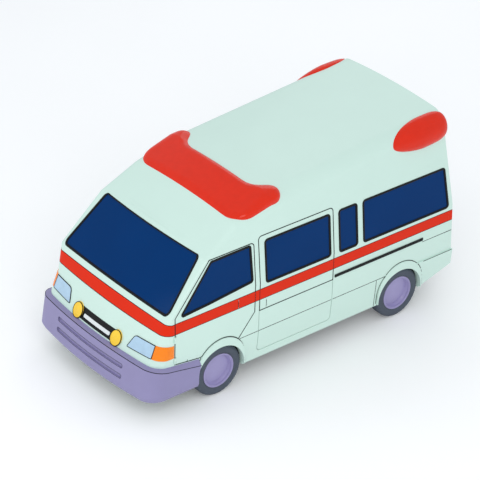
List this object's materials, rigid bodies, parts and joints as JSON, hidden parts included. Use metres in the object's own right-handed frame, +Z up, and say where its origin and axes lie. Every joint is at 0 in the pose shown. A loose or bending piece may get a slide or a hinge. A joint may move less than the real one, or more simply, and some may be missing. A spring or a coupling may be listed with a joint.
{
  "type": "ambulance van",
  "caption": "Compact high-roof van ambulance with red beacons and stripe, hinged front doors, tailgate, steered front wheels and a fitted patient space.",
  "frame": {"origin": "on the ground under the middle of the overall length and width", "axes": "+X forward, +Y to the vehicle's left, +Z up"},
  "size_m": [3.8198, 1.78, 2.0863],
  "materials": {
    "body_paint": "gloss paint",
    "dark_glass": "dark tinted",
    "lamp_clear": "clear lens",
    "lamp_amber": "lens",
    "lamp_yellow": "lens",
    "lamp_red": "lens",
    "bumper": "satin",
    "black_trim": "satin",
    "tyre": "matt",
    "rim": "satin",
    "chassis": "matt",
    "engine": "as cast",
    "steel": "dull",
    "interior": "matt",
    "floor": "matt",
    "upholstery": "soft vinyl",
    "stretcher": "satin"
  },
  "bodies": {
    "body": {"beacons": "lamp_red", "chassis_frame": "chassis", "cushions": "upholstery", "dashboard": "interior", "engine": "engine", "exhaust": "steel", "floor": "floor", "fog_lamps": "lamp_yellow", "front_bumper": "bumper", "front_panel": "body_paint", "fuel_tank": "chassis", "grille": "black_trim", "headlamps": "lamp_clear", "propeller_shaft": "steel", "rear_axle": "chassis", "rear_bumper": "body_paint", "rear_posts": "body_paint", "roof": "body_paint", "side_glass": "dark_glass", "side_panels": "body_paint", "slide_doors": "body_paint", "slide_rails": "black_trim", "steering_wheel": "black_trim", "stretcher": "stretcher", "suspension": "chassis", "tail_lamps": "lamp_red", "turn_lamps": "lamp_amber", "wheel_houses": "chassis", "windshield": "dark_glass"},
    "door_left": {"door_left": "body_paint", "door_glass_left": "dark_glass"},
    "door_right": {"door_right": "body_paint", "door_glass_right": "dark_glass"},
    "tailgate": {"tailgate": "body_paint", "tailgate_glass": "dark_glass"},
    "knuckle_left": {"knuckle_left": "steel"},
    "knuckle_right": {"knuckle_right": "steel"},
    "wheel_front_left": {"tyre_front_left": "tyre", "rim_front_left": "rim"},
    "wheel_front_right": {"tyre_front_right": "tyre", "rim_front_right": "rim"},
    "wheel_rear_left": {"tyre_rear_left": "tyre", "rim_rear_left": "rim"},
    "wheel_rear_right": {"tyre_rear_right": "tyre", "rim_rear_right": "rim"}
  },
  "joints": [
    {"name": "steer_left", "type": "hinge", "parent": "body", "child": "knuckle_left", "pos_m": [0.994, 0.7, 0.262], "axis": [0, 0, 1], "range_deg": [-33, 33]},
    {"name": "steer_right", "type": "hinge", "parent": "body", "child": "knuckle_right", "pos_m": [0.994, -0.7, 0.262], "axis": [0, 0, 1], "range_deg": [-33, 33]},
    {"name": "door_left_hinge", "type": "hinge", "parent": "body", "child": "door_left", "pos_m": [1.534, 0.8455, 0.79], "axis": [0, 0, -1], "range_deg": [0, 68]},
    {"name": "door_right_hinge", "type": "hinge", "parent": "body", "child": "door_right", "pos_m": [1.534, -0.8455, 0.79], "axis": [0, 0, 1], "range_deg": [0, 68]},
    {"name": "tailgate_hinge", "type": "hinge", "parent": "body", "child": "tailgate", "pos_m": [-1.77766, 0, 1.793], "axis": [0, 1, 0], "range_deg": [0, 82]},
    {"name": "wheel_front_left_spin", "type": "hinge", "parent": "knuckle_left", "child": "wheel_front_left", "pos_m": [0.994, 0.753, 0.262], "axis": [0, 1, 0], "continuous": true},
    {"name": "wheel_front_right_spin", "type": "hinge", "parent": "knuckle_right", "child": "wheel_front_right", "pos_m": [0.994, -0.753, 0.262], "axis": [0, 1, 0], "continuous": true},
    {"name": "wheel_rear_left_spin", "type": "hinge", "parent": "body", "child": "wheel_rear_left", "pos_m": [-1.234, 0.753, 0.262], "axis": [0, 1, 0], "continuous": true},
    {"name": "wheel_rear_right_spin", "type": "hinge", "parent": "body", "child": "wheel_rear_right", "pos_m": [-1.234, -0.753, 0.262], "axis": [0, 1, 0], "continuous": true}
  ],
  "couplings": [
    {"joint": "steer_right", "follows": "steer_left", "ratio": 1}
  ]
}
